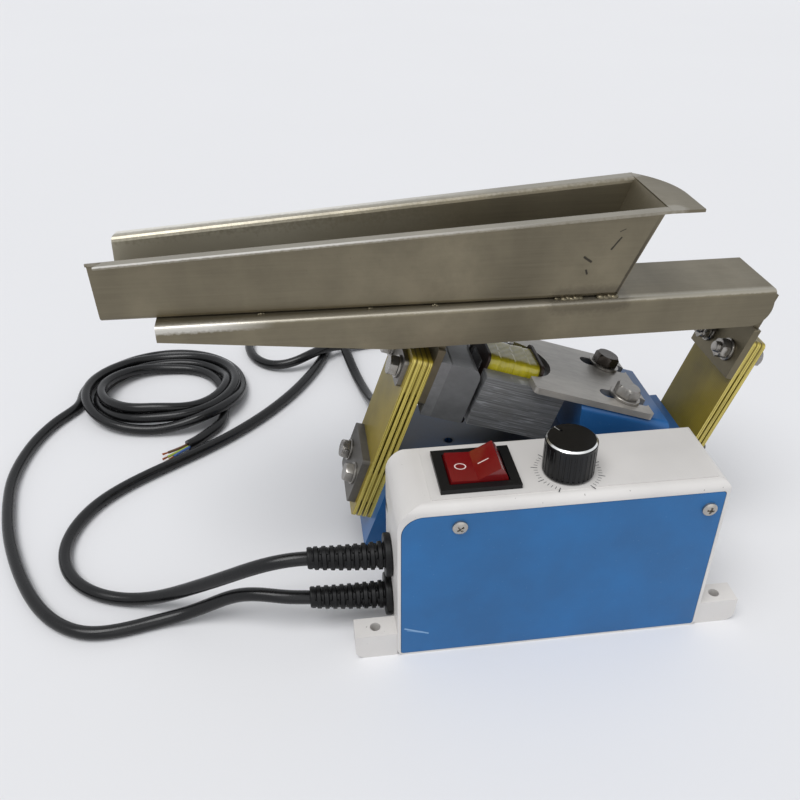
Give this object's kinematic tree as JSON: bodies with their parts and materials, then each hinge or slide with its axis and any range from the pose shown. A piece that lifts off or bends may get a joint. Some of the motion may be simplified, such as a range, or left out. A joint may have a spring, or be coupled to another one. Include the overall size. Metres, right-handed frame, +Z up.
{
  "type": "linear vibratory feeder",
  "caption": "Small electromagnetic linear vibratory feeder: a folded trough on a channel, carried by sloping leaf springs over a blue base, with a cord-connected control box.",
  "frame": {"origin": "on the floor, in the middle of the four rubber feet of the base", "axes": "+X along the tray from the discharge end to the hopper end, +Y away from the control box, +Z up"},
  "size_m": [0.3568, 0.3134, 0.1652],
  "materials": {
    "stainless": "brushed, slightly stained sheet",
    "bracket_steel": "plain cut plate",
    "dark_steel": "dull mild steel",
    "lamination": "varnished steel laminations",
    "leaf_laminate": "glass-fibre laminate with cut edges",
    "spacer": "hard paper laminate",
    "zinc_steel": "dull zinc",
    "bolt_steel": "bright zinc",
    "blue_paint": "sprayed gloss paint on a casting",
    "rubber": "moulded, matt",
    "plate_steel": "zinc-plated, scratched",
    "black_plastic": "moulded",
    "yellow_tape": "wound insulating tape over copper wire",
    "white_plastic": "moulded, fine grain",
    "blue_panel": "painted aluminium sheet",
    "label_film": "printed overlay film",
    "red_plastic": "translucent red moulding",
    "pot_body": "moulded carbon control",
    "knob_black": "turned, bright bevel",
    "board_green": "printed circuit board",
    "board_parts": "electronic parts",
    "boot_black": "moulded",
    "cord_black": "glossy sheath",
    "core_sleeve": "insulated cores"
  },
  "bodies": {
    "base": {"front_leaves": "leaf_laminate", "rear_leaves": "leaf_laminate", "lower_spacers": "spacer", "front_clamp_bar": "zinc_steel", "rear_clamp_bar": "zinc_steel", "lower_bolts": "bolt_steel", "lower_washers": "bolt_steel", "base": "blue_paint", "rubber_feet": "rubber", "magnet_plate": "plate_steel", "plate_bolts": "bolt_steel", "plate_washers": "bolt_steel", "magnet_core": "lamination", "coil_former": "black_plastic", "coil_winding": "yellow_tape", "base_gland": "black_plastic", "box_housing": "white_plastic", "front_panel": "blue_panel", "panel_screws": "bolt_steel", "dial_label": "label_film", "switch_frame": "black_plastic", "potentiometer": "pot_body", "pot_nut": "bolt_steel", "circuit_board": "board_green", "board_parts": "board_parts", "mains_boot": "boot_black", "output_boot": "boot_black", "mains_cord": "cord_black", "mains_coil": "cord_black", "mains_tail": "cord_black", "mains_cores": "core_sleeve", "output_cord": "cord_black"},
    "tray": {"trough": "stainless", "channel": "stainless", "front_bracket": "bracket_steel", "rear_bracket": "bracket_steel", "armature_carrier": "dark_steel", "armature": "lamination", "upper_spacers": "spacer", "front_clamp_plate": "zinc_steel", "rear_clamp_plate": "zinc_steel", "upper_bolts": "bolt_steel", "upper_nuts": "bolt_steel", "upper_washers": "bolt_steel"},
    "rocker": {"rocker": "red_plastic"},
    "knob": {"knob": "knob_black", "pot_shaft": "bolt_steel"}
  },
  "joints": [
    {"name": "tray_throw", "type": "slide", "parent": "base", "child": "tray", "axis": [0.9455, 0, -0.3256], "range_m": [-0.001, 0.001], "stiffness_N_per_m": 20000, "deforming": ["front_leaves", "rear_leaves"]},
    {"name": "rocker_tilt", "type": "hinge", "parent": "base", "child": "rocker", "pos_m": [-0.0275, -0.0567, 0.0769], "axis": [0, 1, 0], "range_deg": [0, 26]},
    {"name": "knob_turn", "type": "hinge", "parent": "base", "child": "knob", "pos_m": [0.008, -0.0607, 0.077], "axis": [0, 0, 1], "range_deg": [-180, 120]}
  ]
}
